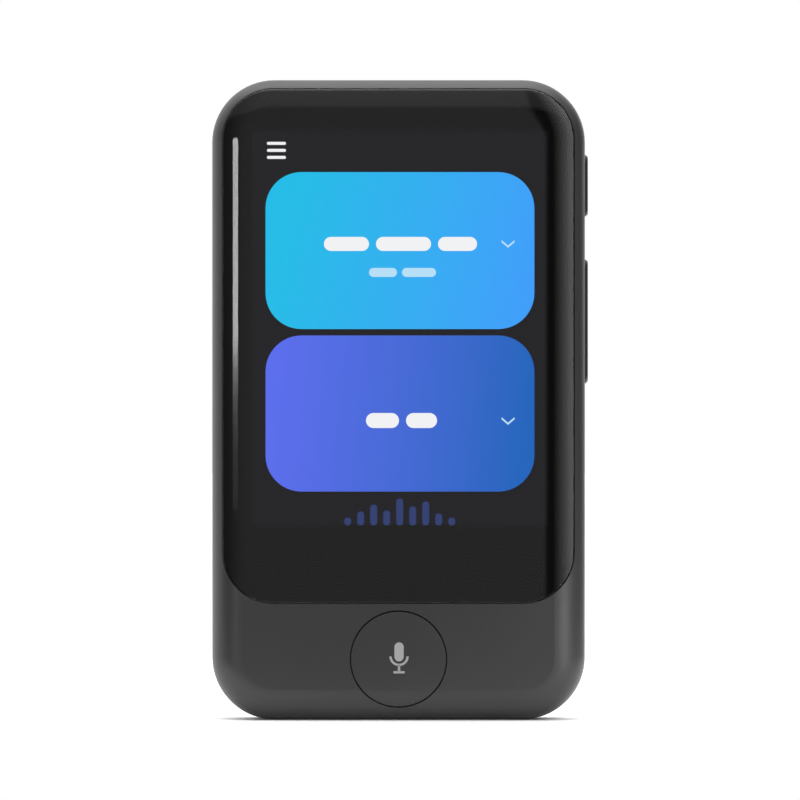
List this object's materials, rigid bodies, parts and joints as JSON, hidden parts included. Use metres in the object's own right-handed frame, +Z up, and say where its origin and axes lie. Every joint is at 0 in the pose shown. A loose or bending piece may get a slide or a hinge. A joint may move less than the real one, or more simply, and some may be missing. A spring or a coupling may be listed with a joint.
{
  "type": "handheld translator",
  "caption": "Palm-sized rounded slab with an inlaid glass screen, a round talk button under it, side keys, a card tray and a charging socket.",
  "frame": {"origin": "middle of the lower end of the body, at half its thickness", "axes": "+X to the right as the screen is seen, +Y from the screen into the device, +Z up to its top end"},
  "size_m": [0.0542, 0.0116, 0.0921],
  "materials": {
    "housing_black": "satin moulded",
    "cover_black": "fine matt texture",
    "button_black": "satin moulded",
    "key_black": "satin moulded",
    "screen_glass": "polished",
    "screen_panel": "polished",
    "lens_glass": "polished",
    "lens_clear": "frosted",
    "led_yellow": "cast resin",
    "trim_metal": "anodised",
    "foam_tape": "matt",
    "steel_can": "rolled",
    "screw_steel": "plated",
    "amber_flex": "film",
    "green_board": "lacquered",
    "battery_wrap": "laminated foil",
    "connector_black": "moulded",
    "mesh_black": "woven"
  },
  "bodies": {
    "housing": {"front_housing": "housing_black", "rear_cover": "cover_black", "cover_glass": "screen_glass", "glass_tape": "foam_tape", "lcd_panel": "screen_panel", "backlight_unit": "steel_can", "display_flex": "amber_flex", "chassis_plate": "steel_can", "chassis_screws": "screw_steel", "board_screws": "screw_steel", "lower_board_screws": "screw_steel", "main_board": "green_board", "processor_shield": "steel_can", "radio_shield": "steel_can", "lower_board": "green_board", "battery_tape": "foam_tape", "battery_pack": "battery_wrap", "battery_lead": "amber_flex", "board_link_flex": "amber_flex", "board_connectors": "connector_black", "usb_socket_shell": "steel_can", "usb_socket_tongue": "connector_black", "talk_switch_case": "steel_can", "side_key_bracket": "steel_can", "side_key_flex": "amber_flex", "power_switch_case": "steel_can", "volume_switch_cases": "steel_can", "sim_reader": "steel_can", "speaker_left": "connector_black", "speaker_right": "connector_black", "speaker_gaskets": "foam_tape", "speaker_mesh": "mesh_black", "lower_microphone": "steel_can", "top_microphone": "steel_can", "camera_module": "connector_black", "camera_window": "lens_glass", "camera_ring": "trim_metal", "flash_led": "led_yellow", "flash_lens": "lens_clear", "antenna_flex": "amber_flex"},
    "talk": {"talk_button": "button_black", "talk_switch_plunger": "key_black"},
    "power_key": {"power_button": "key_black", "power_switch_plunger": "key_black"},
    "volume_key": {"volume_rocker": "key_black", "volume_switch_plungers": "key_black"},
    "tray": {"sim_tray": "key_black"}
  },
  "joints": [
    {"name": "talk_button_press", "type": "slide", "parent": "housing", "child": "talk", "axis": [0, 1, 0], "range_m": [0, 0.0003], "stiffness_N_per_m": 600},
    {"name": "power_button_press", "type": "slide", "parent": "housing", "child": "power_key", "axis": [-1, 0, 0], "range_m": [0, 0.0003], "stiffness_N_per_m": 500},
    {"name": "volume_rocker_tilt", "type": "hinge", "parent": "housing", "child": "volume_key", "pos_m": [0.0247, 0.0005, 0.05735], "axis": [0, 1, 0], "range_deg": [-1.5, 1.5], "stiffness_Nm_per_rad": 0.02},
    {"name": "sim_tray_slide", "type": "slide", "parent": "housing", "child": "tray", "axis": [-1, 0, 0], "range_m": [0, 0.017]}
  ]
}
